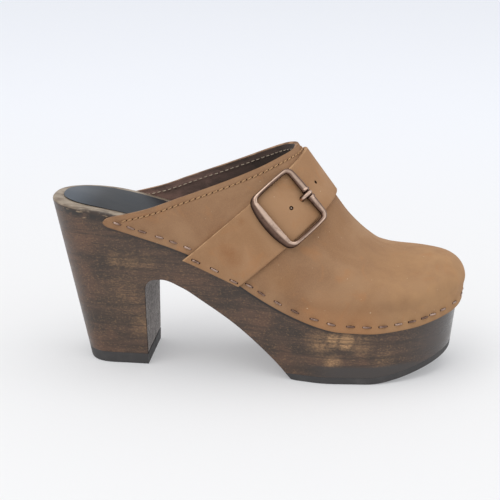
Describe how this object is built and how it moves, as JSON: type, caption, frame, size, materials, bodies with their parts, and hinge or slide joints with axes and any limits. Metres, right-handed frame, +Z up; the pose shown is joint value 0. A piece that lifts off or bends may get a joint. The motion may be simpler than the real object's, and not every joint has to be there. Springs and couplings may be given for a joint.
{
  "type": "platform clog",
  "caption": "Backless platform clog for the right foot: carved dark wood sole with tall block heel, stapled tan leather upper, instep strap and large frame buckle.",
  "frame": {"origin": "middle of the shoe's bounding box, on the floor", "axes": "+X towards the toe, +Y towards the medial (inner) side, +Z up"},
  "size_m": [0.24, 0.1008, 0.1278],
  "materials": {
    "stained_wood": "dark stained, rubbed, satin",
    "black_rubber": "matt",
    "slate_sock": "smooth, dark slate",
    "tan_nubuck": "tan nubuck with a short nap",
    "antique_bronze": "antique copper bronze, rubbed bright on its edges"
  },
  "bodies": {
    "root": {"wood_sole": "stained_wood", "heel_top_lift": "black_rubber", "outsole": "black_rubber", "insole": "slate_sock", "upper": "tan_nubuck", "strap": "tan_nubuck", "buckle": "antique_bronze", "buckle_prong": "antique_bronze"}
  },
  "joints": []
}
